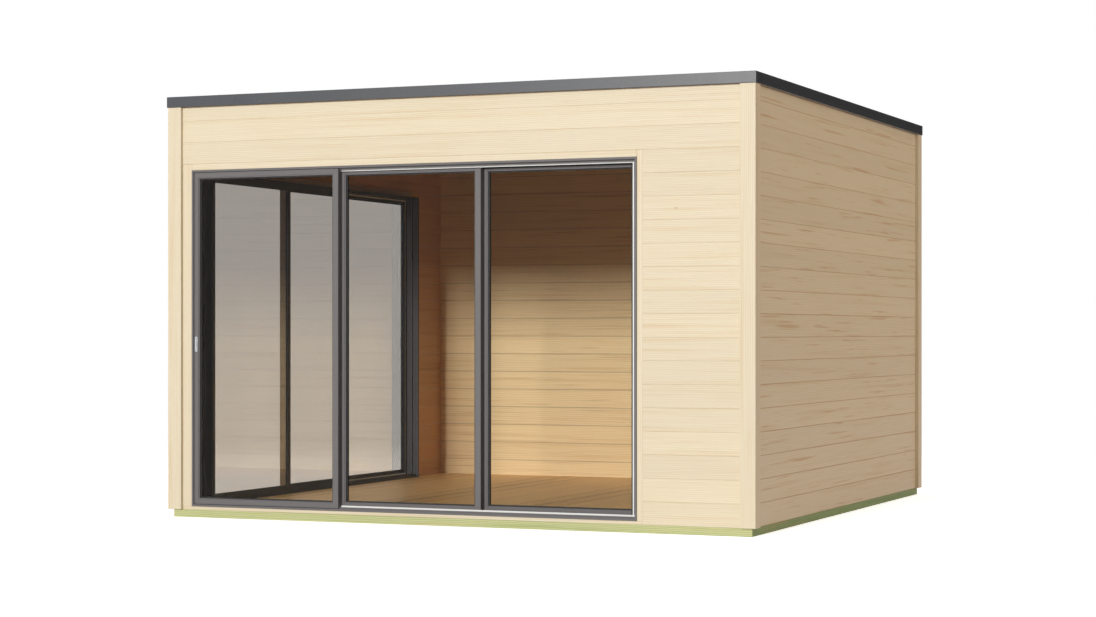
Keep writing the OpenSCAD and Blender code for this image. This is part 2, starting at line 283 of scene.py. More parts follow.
def grain_group():
    """Planed softwood whose length runs along X: year rings, fibres, soft stains and a few knots."""
    tree, into, out = node_group(
        "Softwood grain",
        [("Vector", "NodeSocketVector"), ("Board", "NodeSocketFloat"), ("Pale", "NodeSocketColor"),
         ("Deep", "NodeSocketColor"), ("Ring Depth", "NodeSocketFloat"), ("Stain", "NodeSocketFloat"),
         ("Rough", "NodeSocketFloat")],
        [("Color", "NodeSocketColor"), ("Roughness", "NodeSocketFloat"), ("Height", "NodeSocketFloat")],
    )
    w = Wires(tree)
    board = into.outputs["Board"]
    shift = w.node("CombineXYZ", X=w.math("MULTIPLY", board, 61.0), Y=w.math("MULTIPLY", board, 23.0),
                   Z=w.math("MULTIPLY", board, 37.0)).outputs[0]
    place = w.vector("ADD", into.outputs["Vector"], shift)
    slow = w.vector("MULTIPLY", place, (0.45, 5.0, 5.0))
    bend = w.node("TexNoise", Vector=slow, Scale=1.0, Detail=2.0).outputs["Color"]
    drawn_out = w.vector("MULTIPLY", place, (0.10, 1.0, 1.0))
    swayed = w.vector("ADD", drawn_out, w.vector("MULTIPLY", bend, (0.0, 0.05, 0.05)))
    rings = w.node("TexWave", {"wave_type": "RINGS", "rings_direction": "X"}, Vector=swayed, Scale=34.0,
                   Distortion=1.6, Detail=2.0, Detail_Scale=1.2).outputs["Fac"]
    fibre = w.noise(w.vector("MULTIPLY", place, (3.0, 190.0, 190.0)), 1.0, 3.0)
    streak = w.noise(w.vector("MULTIPLY", place, (0.9, 34.0, 34.0)), 1.0, 3.0)
    stain = w.noise(w.vector("MULTIPLY", place, (1.5, 55.0, 55.0)), 1.0, 5.0)
    late = w.math("MULTIPLY", w.ramp(rings, 0.35, 1.0), into.outputs["Ring Depth"])
    grain = w.math("ADD", late, w.math("MULTIPLY", w.ramp(streak, 0.50, 0.80), 0.55))
    grain = w.math("ADD", grain, w.math("MULTIPLY", w.ramp(fibre, 0.45, 0.75), 0.22))
    colour = w.mix(w.math("MINIMUM", grain, 1.0), into.outputs["Pale"], into.outputs["Deep"])
    warm = w.math("MULTIPLY", w.ramp(stain, 0.58, 0.70), into.outputs["Stain"])
    colour = w.mix(warm, colour, (0.54, 0.29, 0.11, 1.0))
    spread = w.vector("MULTIPLY", place, (4.2, 8.0, 8.0))
    cells = w.node("TexVoronoi", {"feature": "F1"}, Vector=spread, Scale=1.0)
    chosen = w.math("GREATER_THAN", w.node("SeparateColor", Color=cells.outputs["Color"]).outputs[0], 0.93)
    away = w.ramp(cells.outputs["Distance"], 0.015, 0.065)
    knot = w.math("MULTIPLY", w.math("SUBTRACT", 1.0, away), chosen)
    colour = w.mix(w.math("MULTIPLY", knot, 0.8), colour, (0.34, 0.14, 0.05, 1.0))
    tone = w.math("ADD", w.math("MULTIPLY", board, 0.06), 0.95)
    shade = w.vector("MULTIPLY", colour, w.node("CombineXYZ", X=tone, Y=tone, Z=tone).outputs[0])
    w.put(out.inputs["Color"], shade)
    w.put(out.inputs["Roughness"], w.math("ADD", w.math("MULTIPLY", fibre, 0.18), into.outputs["Rough"]))
    w.put(out.inputs["Height"], w.math("ADD", w.math("MULTIPLY", rings, 0.4), w.math("MULTIPLY", fibre, 0.6)))
    return tree


def coat_group():
    """Powder coat: a fine orange peel, a slow change of gloss and a little dust."""
    tree, into, out = node_group(
        "Powder coat",
        [("Vector", "NodeSocketVector"), ("Paint", "NodeSocketColor"), ("Gloss", "NodeSocketFloat")],
        [("Color", "NodeSocketColor"), ("Roughness", "NodeSocketFloat"), ("Height", "NodeSocketFloat")],
    )
    w = Wires(tree)
    place = into.outputs["Vector"]
    peel = w.noise(place, 900.0, 2.0)
    cloud = w.noise(place, 5.0, 3.0)
    dust = w.ramp(w.noise(place, 60.0, 4.0), 0.55, 0.85)
    dusty = w.mix(w.math("MULTIPLY", dust, 0.10), into.outputs["Paint"], (0.35, 0.34, 0.33, 1.0))
    w.put(out.inputs["Color"], dusty)
    rough = w.math("SUBTRACT", 1.0, into.outputs["Gloss"])
    change = w.math("MULTIPLY", w.math("SUBTRACT", cloud, 0.5), 0.10)
    w.put(out.inputs["Roughness"], w.math("ADD", rough, change))
    w.put(out.inputs["Height"], peel)
    return tree


def metal_group():
    """Bare metal with fine lines along one direction, set by the vector's stretch."""
    tree, into, out = node_group(
        "Drawn metal",
        [("Vector", "NodeSocketVector"), ("Metal", "NodeSocketColor")],
        [("Color", "NodeSocketColor"), ("Roughness", "NodeSocketFloat"), ("Height", "NodeSocketFloat")],
    )
    w = Wires(tree)
    lines = w.noise(into.outputs["Vector"], 1.0, 4.0)
    lined = w.mix(w.math("MULTIPLY", lines, 0.25), into.outputs["Metal"], (0.55, 0.55, 0.56, 1.0))
    w.put(out.inputs["Color"], lined)
    w.put(out.inputs["Roughness"], w.math("ADD", w.math("MULTIPLY", lines, 0.12), 0.10))
    w.put(out.inputs["Height"], lines)
    return tree


def group_named(name, maker):
    """A node group by its name, built the first time."""
    return bpy.data.node_groups.get(name) or maker()


def fresh_material(name):
    """An empty node material with its output, as (material, wires, surface socket)."""
    made = bpy.data.materials.new(name)
    made.use_nodes = True
    made.node_tree.nodes.clear()
    wires = Wires(made.node_tree)
    return made, wires, wires.node("OutputMaterial").inputs["Surface"]


def grouped_material(name, group, bump, place, inputs, metallic=0.0, specular=0.5):
    """A material whose colour, roughness and relief come from one group, built the first time."""
    existing = bpy.data.materials.get(name)
    if existing:
        return existing
    made, w, surface = fresh_material(name)
    effect = w.node("Group", {"node_tree": group})
    w.put(effect.inputs["Vector"], place(w))
    for label, value in inputs.items():
        w.put(effect.inputs[label], value(w) if callable(value) else value)
    relief = w.node("Bump", Height=effect.outputs["Height"], Distance=bump, Strength=1.0)
    body = w.node("BsdfPrincipled", Base_Color=effect.outputs["Color"], Roughness=effect.outputs["Roughness"],
                  Normal=relief.outputs[0], Metallic=metallic, Specular_IOR_Level=specular)
    w.put(surface, body.outputs[0])
    return made


def along(axis, stretch=(1.0, 1.0, 1.0)):
    """Object coordinates turned so that X runs along the given axis, then stretched."""
    turn = {"X": (0.0, 0.0, 0.0), "Y": (0.0, 0.0, -math.pi / 2), "Z": (0.0, math.pi / 2, 0.0)}[axis]

    def place(w):
        coords = w.node("TexCoord").outputs["Object"]
        turned = w.node("Mapping", Vector=coords, Rotation=turn).outputs[0]
        return w.vector("MULTIPLY", turned, stretch)

    return place


def rgba(colour):
    return (*colour, 1.0)


def board_tone(w):
    """The value that each board carries on its vertices."""
    return w.node("Attribute", {"attribute_name": BOARD_LAYER}).outputs["Fac"]


def wood_material(name, axis, pale, deep, ring_depth=0.42, stain=0.35, rough=0.48, specular=0.5):
    """Softwood with its grain along an axis, and a tone of its own on each board."""
    return grouped_material(
        name, group_named("Softwood grain", grain_group), 0.5 * MM, along(axis),
        {"Board": board_tone, "Pale": rgba(pale), "Deep": rgba(deep), "Ring Depth": ring_depth,
         "Stain": stain, "Rough": rough},
        specular=specular,
    )


def paint_material(name, paint, gloss, specular):
    return grouped_material(
        name, group_named("Powder coat", coat_group), 0.05 * MM, along("X"),
        {"Paint": rgba(paint), "Gloss": gloss}, specular=specular,
    )


def metal_material(name, metal, axis):
    return grouped_material(
        name, group_named("Drawn metal", metal_group), 0.02 * MM, along(axis, (4.0, 900.0, 900.0)),
        {"Metal": rgba(metal)}, metallic=1.0,
    )


def rubber_material(name, colour):
    return grouped_material(
        name, group_named("Powder coat", coat_group), 0.08 * MM, along("X"),
        {"Paint": rgba(colour), "Gloss": 0.3},
    )


def membrane_material(name, colour):
    """Mineral roof sheet: grit and pale dust that gathers in patches."""
    made, w, surface = fresh_material(name)
    coords = w.node("TexCoord").outputs["Object"]
    grit = w.noise(coords, 700.0, 2.0)
    dust = w.ramp(w.noise(coords, 2.2, 5.0), 0.45, 0.75)
    tone = w.mix(w.math("MULTIPLY", grit, 0.5), rgba(colour), (0.12, 0.12, 0.125, 1.0))
    tone = w.mix(w.math("MULTIPLY", dust, 0.22), tone, (0.26, 0.25, 0.235, 1.0))
    relief = w.node("Bump", Height=grit, Distance=0.6 * MM, Strength=1.0)
    body = w.node("BsdfPrincipled", Base_Color=tone, Roughness=0.85, Normal=relief.outputs[0])
    w.put(surface, body.outputs[0])
    return made


def glass_material(name, tint, index):
    """Toughened glass. Lamps shine straight through it, and light from sky and ground is cut."""
    made, w, surface = fresh_material(name)
    ray = w.node("LightPath")
    pane = w.node("BsdfPrincipled", Base_Color=rgba(tint), Roughness=0.0, IOR=index, Transmission_Weight=1.0)
    face = [math.sqrt(part) for part in tint]
    clear = w.node("BsdfTransparent", Color=rgba(face))
    dim = w.node("BsdfTransparent", Color=rgba([EVEN_LIGHT_IN * part for part in face]))
    seen = w.node("MixShader", Fac=ray.outputs["Is Diffuse Ray"])
    w.put(seen.inputs[1], pane.outputs[0])
    w.put(seen.inputs[2], dim.outputs[0])
    both = w.node("MixShader", Fac=ray.outputs["Is Shadow Ray"])
    w.put(both.inputs[1], seen.outputs[0])
    w.put(both.inputs[2], clear.outputs[0])
    w.put(surface, both.outputs[0])
    return made


# Meshes


def to_piece(name, bm, materials, body, nodes=()):
    """Turns a bmesh into a piece at the origin that rides on a body and stands for CAD nodes."""
    mesh = bpy.data.meshes.new(name)
    bm.to_mesh(mesh)
    bm.free()
    for material in materials:
        mesh.materials.append(material)
    piece = bpy.data.objects.new(name, mesh)
    bpy.context.scene.collection.objects.link(piece)
    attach(piece, body)
    if nodes:
        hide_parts(*nodes)


def solid_copy(node):
    """A bmesh of a CAD node with its loose triangles merged into flat faces."""
    bm = bmesh.new()
    bm.from_mesh(frame["nodes"][node].data)
    bmesh.ops.remove_doubles(bm, verts=bm.verts, dist=0.01 * MM)
    bmesh.ops.dissolve_limit(bm, angle_limit=math.radians(1), verts=bm.verts, edges=bm.edges)
    return bm


def ease(bm, width, edges=None, segments=2):
    """Rounds the sharp edges, or only the given ones."""
    if edges is None:
        edges = [e for e in bm.edges if e.is_manifold and e.calc_face_angle() > SHARP]
    bmesh.ops.bevel(bm, geom=edges, offset=width, offset_type="OFFSET", segments=segments, profile=0.5,
                    affect="EDGES", material=-1, clamp_overlap=True)


def add_block(bm, low, high):
    """A box between two corners. Returns its vertices."""
    low, high = Vector(low), Vector(high)
    size = Matrix.Diagonal((*(high - low), 1.0))
    return bmesh.ops.create_cube(bm, size=1.0, matrix=Matrix.Translation((low + high) / 2) @ size)["verts"]


def faces_of(verts):
    """The faces that meet at the given vertices."""
    return {face for v in verts for face in v.link_faces}


def add_strip(bm, bounds, finish=0):
    """A box from its two ends on each axis, with the given material index."""
    low, high = Vector(), Vector()
    for axis, ends in bounds.items():
        low[axis], high[axis] = min(ends), max(ends)
    for face in faces_of(add_block(bm, low, high)):
        face.material_index = finish


def long_edges(verts, axis):
    """The edges of a box that run along an axis."""
    found = dict.fromkeys(e for v in verts for e in v.link_edges)
    return [e for e in found if abs((e.verts[0].co - e.verts[1].co).normalized()[axis]) > SLOPED[1]]


def board_layer(bm):
    """The vertex layer for each board's value."""
    layers = bm.verts.layers.float
    return layers.get(BOARD_LAYER) or layers.new(BOARD_LAYER)


def add_board(bm, low, high, axis, slope, rng):
    """One board with sloped long edges and a random value that sets its tone and grain."""
    layer = board_layer(bm)
    verts = add_block(bm, low, high)
    value = rng.random()
    for v in verts:
        v[layer] = value
    ease(bm, slope, long_edges(verts, axis), segments=1)


def courses(low, high, step):
    """Bounds of the rows between two heights, from the bottom up, the last one cut to fit."""
    sliver = 0.01
    count = math.ceil((high - low) / step - sliver)
    return [(low + i * step, min(low + (i + 1) * step, high)) for i in range(count)]


def board_rows(bm, low, high, axis, step, slope, rng):
    """A wall of level boards in a box, their length along an axis."""
    for bottom, top in courses(low.z, high.z, step):
        add_board(bm, (low.x, low.y, bottom), (high.x, high.y, top), axis, slope, rng)


def tone_all(bm, rng):
    """One random tone for each separate solid of a bmesh."""
    layer = board_layer(bm)
    done = set()
    for first in bm.verts:
        if first in done:
            continue
        value = rng.random()
        stack = [first]
        while stack:
            v = stack.pop()
            if v not in done:
                done.add(v)
                v[layer] = value
                stack.extend(e.other_vert(v) for e in v.link_edges)


def door_axes(unit):
    """The axis along a door unit, and the one through it, from outside to the room."""
    return (0, 1) if unit == "front" else (1, 0)


class PodOperator(bpy.types.Operator):
    """Shared settings of the pod's operators."""

    bl_options = {"REGISTER", "UNDO"}

    @property
    def timber(self):
        return bpy.context.scene.pod_timber

    @property
    def doors(self):
        return bpy.context.scene.pod_doors

    @property
    def roof(self):
        return bpy.context.scene.pod_roof

    def spruce(self, axis):
        """Outside boards and timbers. The side walls show more of the brown streaks."""
        streaks = 0.50 if axis == "Y" else 0.10
        return wood_material("Spruce along " + axis, axis, self.timber.pale, self.timber.deep, stain=streaks)

    def seam(self, colour, name, axis):
        """Painted shade on the sloped board edges, which shows as a line between two boards."""
        return wood_material(name + " along " + axis, axis, colour, colour)

    def room_lit_spruce(self, axis, on_left):
        """Boards on the room side, warmer with painted room light. Those of the left wall are browner:
        painted shade.
        """
        timber = self.timber
        if on_left:
            # The left wall's room side takes painted shade
            return wood_material("Brown spruce along " + axis, axis, timber.brown, timber.brown_deep)
        return wood_material("Inside spruce along " + axis, axis, timber.inside, timber.inside_deep)


class POD_OT_walls(PodOperator):
    """Boards the walls, inside and out"""

    bl_idname = "pod.walls"
    bl_label = "Wall boards"

    def execute(self, context):
        rng = random.Random(SEEDS["walls"])
        for node in ("back_wall", "front_wall", "front_header", "right_wall", "left_header"):
            bm = bmesh.new()
            low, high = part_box(node)
            axis = 0 if high.x - low.x > high.y - low.y else 1
            board_rows(bm, low, high, axis, self.timber.board, self.timber.groove, rng)
            self.finish_wall(node, bm, axis)
        self.left_wall(rng)
        return {"FINISHED"}

    def finish_wall(self, node, bm, axis):
        """The faces towards the middle of the room take the inside finish, whose colour holds painted room
        light.
        """
        low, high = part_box(node)
        across = 1 - axis
        inward = -1 if low[across] + high[across] > 0 else 1
        bm.normal_update()
        for face in bm.faces:
            facing = face.normal[across] * inward
            sloped = SLOPED[0] < abs(facing) < SLOPED[1]
            face.material_index = (1 if facing > SLOPED[0] else 0) + (2 if sloped else 0)
        # Sloped faces take painted groove shade, lighter on the lit front than on other walls and indoors
        run = AXES[axis]
        dark = self.seam(self.timber.dark_groove_shade, "Dark seam", run)
        outer = self.seam(self.timber.seam, "Seam", run) if node.startswith("front") else dark
        woods = [self.spruce(run), self.room_lit_spruce(run, node.startswith("left")), outer, dark]
        to_piece(node + "_boards", bm, woods, ROOM, [node])

    def left_wall(self, rng):
        """The left wall stands in front of and behind its door bay, which the sill board spans."""
        low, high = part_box("left_wall")
        bay_low, bay_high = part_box("left_sill_board")
        bm = bmesh.new()
        for start, end in ((low.y, bay_low.y), (bay_high.y, high.y)):
            part = Vector((low.x, start, low.z)), Vector((high.x, end, high.z))
            board_rows(bm, *part, 1, self.timber.board, self.timber.groove, rng)
        self.finish_wall("left_wall", bm, 1)


class POD_OT_timbers(PodOperator):
    """Eases the edges of posts, studs, trims and sill boards"""

    bl_idname = "pod.timbers"
    bl_label = "Posts and trims"

    def execute(self, context):
        rng = random.Random(SEEDS["timbers"])
        grain = {"X": ["front_head_trim", "front_sill_board"], "Y": ["left_head_trim", "left_sill_board"]}
        grain["Z"] = [n for n in frame["nodes"] if n.startswith("post_") or n.endswith("_studs")]
        for axis, nodes in grain.items():
            for node in sorted(nodes):
                bm = solid_copy(node)
                ease(bm, self.timber.edge)
                tone_all(bm, rng)
                to_piece(node + "_timber", bm, [self.spruce(axis)], ROOM, [node])
        return {"FINISHED"}


class POD_OT_base(PodOperator):
    """Green treated base beams and floor joists"""

    bl_idname = "pod.base"
    bl_label = "Base"

    def execute(self, context):
        rng = random.Random(SEEDS["base"])
        shaded_side = 0.5
        for node, axis in (("base_beams_front_back", "X"), ("base_beams_sides", "Y"), ("floor_joists", "X")):
            bm = solid_copy(node)
            ease(bm, self.timber.edge)
            tone_all(bm, rng)
            bm.normal_update()
            # Faces towards the sides take the painted shade copy
            for face in bm.faces:
                face.material_index = 1 if abs(face.normal.x) > shaded_side else 0
            to_piece(node + "_timber", bm, self.woods(axis), ROOM, [node])
        return {"FINISHED"}

    def woods(self, axis):
        """Treated wood for most faces, and a darker copy, painted shade, for those towards the sides."""
        depth = 0.6
        timber = self.timber
        tones = {
            "Treated wood": (timber.treated, timber.treated_deep),
            "Treated side wood": (timber.treated_side_shade, timber.treated_side_shade_deep),
        }
        return [wood_material(name + " along " + axis, axis, *pair, depth) for name, pair in tones.items()]


class POD_OT_floor(PodOperator):
    """Floor boards that run from front to back"""

    bl_idname = "pod.floor"
    bl_label = "Floor boards"

    def execute(self, context):
        rng = random.Random(SEEDS["floor"])
        joint_slope = 5.5 * MM
        plain_slope = 0.8 * MM
        low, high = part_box("floor_boards")
        edges = [low.x]
        while edges[-1] < high.x:
            step = self.timber.first_board + (len(edges) - 1) * self.timber.floor_board
            edges.append(min(low.x + step, high.x))
        bm = bmesh.new()
        for i, (left, right) in enumerate(zip(edges, edges[1:])):
            near_joint = i % BOARDS_PER_CASSETTE in (0, 1)
            slope = joint_slope if near_joint else plain_slope
            add_board(bm, (left, low.y, low.z), (right, high.y, high.z), 1, slope, rng)
        # Sloped edges take the floor seam colour, painted shade in the joints
        bm.normal_update()
        for face in bm.faces:
            face.material_index = 1 if SLOPED[0] < abs(face.normal.x) < SLOPED[1] else 0
        wood = wood_material("Floor spruce", "Y", self.timber.floor, self.timber.floor_deep, ring_depth=0.5,
                             rough=0.30, specular=0.25)
        seam = self.seam(self.timber.floor_groove_shade, "Floor seam", "Y")
        to_piece("floor_planks", bm, [wood, seam], ROOM, ["floor_boards"])
        return {"FINISHED"}


class POD_OT_roof(PodOperator):
    """Roof joists, boarded deck, lapped membrane and fascia"""

    bl_idname = "pod.roof"
    bl_label = "Roof"

    def execute(self, context):
        rng = random.Random(SEEDS["roof"])
        self.joists(rng)
        self.deck(rng)
        self.membrane()
        self.fascia()
        return {"FINISHED"}

    # Dark brown spruce of the roof deck and joists, painted shade under the roof
    def ceiling_shade_spruce(self, axis):
        timber = self.timber
        return wood_material("Ceiling spruce along " + axis, axis, timber.ceiling_shade, timber.ceiling_shade_deep)

    def joists(self, rng):
        bm = solid_copy("roof_joists")
        ease(bm, self.timber.edge)
        tone_all(bm, rng)
        wood = self.ceiling_shade_spruce("Y")
        to_piece("roof_joist_timber", bm, [wood], ROOM, ["roof_joists"])

    def deck(self, rng):
        low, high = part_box("roof_deck")
        count = round((high.y - low.y) / self.timber.ceiling_board)
        width = (high.y - low.y) / count
        bm = bmesh.new()
        for i in range(count):
            near = low.y + i * width
            add_board(bm, (low.x, near, low.z), (high.x, near + width, high.z), 0, self.timber.groove, rng)
        wood = self.ceiling_shade_spruce("X")
        to_piece("roof_deck_boards", bm, [wood], ROOM, ["roof_deck"])

    def membrane(self):
        """Strips across the roof, sealed with bitumen at each lap and turned up at the fascia."""
        low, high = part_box("roof_membrane")
        below_rim = 8 * MM
        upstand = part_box("fascia_sides")[1].z - below_rim
        turn = 4 * MM
        sheet_edge = 0.8 * MM
        half_seal = 9 * MM
        seal_top = high.z + 3.6 * MM
        bm = bmesh.new()
        add_block(bm, low, high)
        count = math.ceil((high.y - low.y) / (self.roof.strip - self.roof.lap))
        step = (high.y - low.y) / count
        for i in range(1, count):
            near = low.y + i * step
            far = min(near + step + self.roof.lap, high.y)
            thick = (1.5 if i % 2 else 3.0) * MM
            add_block(bm, (low.x, near, high.z), (high.x, far, high.z + thick))
            seal = {0: (low.x, high.x), 1: (near - half_seal, near + half_seal), 2: (high.z, seal_top)}
            add_strip(bm, seal, finish=1)
        for side in (0, 1):
            x = (low.x, low.x + turn) if side == 0 else (high.x - turn, high.x)
            add_block(bm, (x[0], low.y, high.z), (x[1], high.y, upstand))
            y = (low.y, low.y + turn) if side == 0 else (high.y - turn, high.y)
            add_block(bm, (low.x, y[0], high.z), (high.x, y[1], upstand))
        ease(bm, sheet_edge, segments=1)
        felt = membrane_material("Roof membrane", self.roof.membrane)
        bitumen = paint_material("Bitumen", self.roof.bitumen, gloss=0.55, specular=0.5)
        node = "roof_membrane"
        to_piece("roof_membrane_strips", bm, [felt, bitumen], ROOM, [node])

    def fascia(self):
        paint = paint_material("Fascia coat", self.roof.paint, gloss=0.62, specular=0.7)
        for node in ("fascia_front_back", "fascia_sides"):
            bm = solid_copy(node)
            ease(bm, self.roof.edge)
            to_piece(node + "_trim", bm, [paint], ROOM, [node])


class POD_OT_door_frames(PodOperator):
    """Aluminium frames and panels of the sliding doors"""

    bl_idname = "pod.door_frames"
    bl_label = "Door frames"

    def execute(self, context):
        paint = paint_material("Door coat", self.doors.paint, gloss=0.50, specular=0.25)
        # The darker inner coat paints the shade on the room side of the bars
        inner = paint_material("Inner door coat", self.doors.inner, gloss=0.50, specular=0.25)
        for unit, panels in DOOR_UNITS.items():
            self.fixed_bars(unit, paint, inner)
            for node in (panel + "_panel" for panel in panels):
                bm = solid_copy(node)
                self.shade_room_side(bm, unit, 1)
                ease(bm, self.doors.edge, segments=1)
                to_piece(node + "_bars", bm, [paint, inner], BODY_OF[node], [node])
        return {"FINISHED"}

    def shade_room_side(self, bm, unit, finish):
        """Gives the faces that look into the room another material index, for the darker coat of painted
        shade.
        """
        across = door_axes(unit)[1]
        bm.normal_update()
        for face in bm.faces:
            if face.normal[across] > SLOPED[1]:
                face.material_index = finish

    def fixed_bars(self, unit, paint, inner):
        """Sill, head and jambs, with a pale coat on the guides between the tracks and painted shade on the
        faces towards the room.
        """
        run = door_axes(unit)[0]
        touch = 0.1 * MM
        pale = paint_material("Guide coat " + unit, self.doors.guide, gloss=0.45, specular=0.5)
        sill_low, sill_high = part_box(unit + "_door_sill")
        rise = sill_high.z - sill_low.z
        tips = {
            "sill": (2, [sill_high.z]),
            "head": (2, [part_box(unit + "_door_head")[0].z]),
            "jambs": (run, [sill_low[run] + rise, sill_high[run] - rise]),
        }
        for part, (axis, ends) in tips.items():
            node = unit + "_door_" + part
            bm = solid_copy(node)
            for face in bm.faces:
                at_tip = any(abs(v.co[axis] - end) < touch for v in face.verts for end in ends)
                face.material_index = 1 if at_tip and len(face.verts) == 4 else 0
            self.shade_room_side(bm, unit, 2)
            ease(bm, self.doors.edge, segments=1)
            to_piece(node + "_bars", bm, [paint, pale, inner], ROOM, [node])


class POD_OT_glazing(PodOperator):
    """Panes and their rubber seals"""

    bl_idname = "pod.glazing"
    bl_label = "Glazing"

    def execute(self, context):
        glass = {
            "front": glass_material("Clear glass", self.doors.tint, index=1.18),
            "left": glass_material("Grey glass", self.doors.grey, index=2.3),
        }
        rubber = rubber_material("Seal rubber", self.doors.rubber)
        for unit, panels in DOOR_UNITS.items():
            for panel in panels:
                pane = frame["nodes"][panel + "_glass"]
                pane.data.materials.clear()
                pane.data.materials.append(glass[unit])
                self.seals(panel, unit, rubber)
        return {"FINISHED"}

    def seals(self, panel, unit, rubber):
        """A seal on either face of a pane, round the clear opening of its bars."""
        run, across = door_axes(unit)
        low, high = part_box(panel + "_glass")
        sunk = 10 * MM
        depth = 3 * MM
        wide = self.doors.gasket
        left, right = low[run] + sunk, high[run] - sunk
        bottom, top = low.z + sunk, high.z - sunk
        bm = bmesh.new()
        for through in ((low[across] - depth, low[across]), (high[across], high[across] + depth)):
            for level in ((bottom, bottom + wide), (top - wide, top)):
                add_strip(bm, {run: (left, right), across: through, 2: level})
            for side in ((left, left + wide), (right - wide, right)):
                add_strip(bm, {run: side, across: through, 2: (bottom + wide, top - wide)})
        to_piece(panel + "_seals", bm, [rubber], BODY_OF[panel + "_glass"])


class POD_OT_fittings(PodOperator):
    """Locks, guide covers, pile strips and brush seals"""

    bl_idname = "pod.fittings"
    bl_label = "Door fittings"

    def execute(self, context):
        for unit, panels in DOOR_UNITS.items():
            self.lock(unit)
            self.guide_covers(unit, panels)
            self.brushes(unit, panels)
            self.rail_piles(unit, panels)
        return {"FINISHED"}

    def lock(self, unit):
        node = unit + "_door_lock"
        plate_edge = 0.8 * MM
        bm = solid_copy(node)
        ease(bm, plate_edge)
        self.screws(bm, node, door_axes(unit)[1])
        steel = metal_material("Brushed steel", self.doors.steel, "Z")
        dark = metal_material("Screw steel", self.doors.screw, "Z")
        to_piece(node + "_lever", bm, [steel, dark], BODY_OF[node], [node])

    def screws(self, bm, node, across):
        """A screw head at either end of the lock plate."""
        plate = 4 * MM
        from_middle = 34 * MM
        radius = 3 * MM
        low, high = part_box(node)
        turn = Matrix.Rotation(math.radians(90), 4, "X" if across == 1 else "Y")
        for way in (-1, 1):
            place = (low + high) / 2
            place[across] = high[across] - plate
            place.z += way * from_middle
            made = bmesh.ops.create_cone(bm, cap_ends=True, segments=24, radius1=radius, radius2=radius,
                                         depth=1.0 * MM, matrix=Matrix.Translation(place) @ turn)
            for face in faces_of(made["verts"]):
                face.material_index = 1

    def guide_covers(self, unit, panels):
        """Strips on the outermost guides: a bright one along sill and head, and on either jamb a painted one,
        a bright one and a dark pile."""
        run, across = door_axes(unit)
        cover = self.doors.cover
        painted = 11 * MM
        jamb_pile = 0.6 * self.doors.pile
        half = 1 * MM
        low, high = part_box(unit + "_door_sill")
        rise = high.z - low.z
        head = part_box(unit + "_door_head")[0].z
        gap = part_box(panels[0] + "_panel")[1][across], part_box(panels[1] + "_panel")[0][across]
        middle = sum(gap) / 2
        through = middle - half, middle + half
        bm = bmesh.new()
        for end, way in ((low[run], 1), (high[run], -1)):
            steps = [rise, rise + painted, rise + painted + cover, rise + painted + cover + jamb_pile]
            places = [end + way * step for step in steps]
            for finish, ends in enumerate(zip(places, places[1:])):
                add_strip(bm, {run: ends, across: through, 2: (high.z + cover, head - cover)}, finish)
        for level in ((high.z, high.z + cover), (head - cover, head)):
            add_strip(bm, {run: (low[run] + rise, high[run] - rise), across: through, 2: level}, 1)
        rubber = rubber_material("Seal rubber", self.doors.rubber)
        coats = [bpy.data.materials["Door coat"], bpy.data.materials["Guide coat " + unit], rubber]
        to_piece(unit + "_jamb_covers", bm, coats, ROOM)

    def rail_piles(self, unit, panels):
        """A dark pile strip on the outer face of the top rail of each inner panel."""
        run, across = door_axes(unit)
        short = 2 * MM
        depth = 3 * MM
        below_top = 8 * MM
        for panel in panels[1:]:
            low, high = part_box(panel + "_panel")
            top = high.z - below_top
            self.soft_strip(panel + "_pile", panel + "_panel", {
                run: (low[run] + short, high[run] - short),
                across: (low[across] - depth, low[across]),
                2: (top - self.doors.pile, top),
            })

    def brushes(self, unit, panels):
        """A dark pile strip down the meeting stile of each outer panel, towards the next one."""
        run, across = door_axes(unit)
        narrow = 2 * MM
        short = 24 * MM
        for outer, inner in zip(panels, panels[1:]):
            low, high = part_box(outer + "_panel")
            next_low, next_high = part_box(inner + "_panel")
            self.soft_strip(outer + "_brush", outer + "_panel", {
                run: (max(low[run], next_low[run]) + narrow, min(high[run], next_high[run]) - narrow),
                across: (high[across], high[across] + self.doors.brush),
                2: (low.z + short, high.z - short),
            })

    def soft_strip(self, name, panel, bounds):
        """One dark pile strip that rides with a panel."""
        pile_edge = 0.5 * MM
        bm = bmesh.new()
        add_strip(bm, bounds)
        ease(bm, pile_edge, segments=1)
        rubber = rubber_material("Seal rubber", self.doors.rubber)
        to_piece(name, bm, [rubber], BODY_OF[panel])


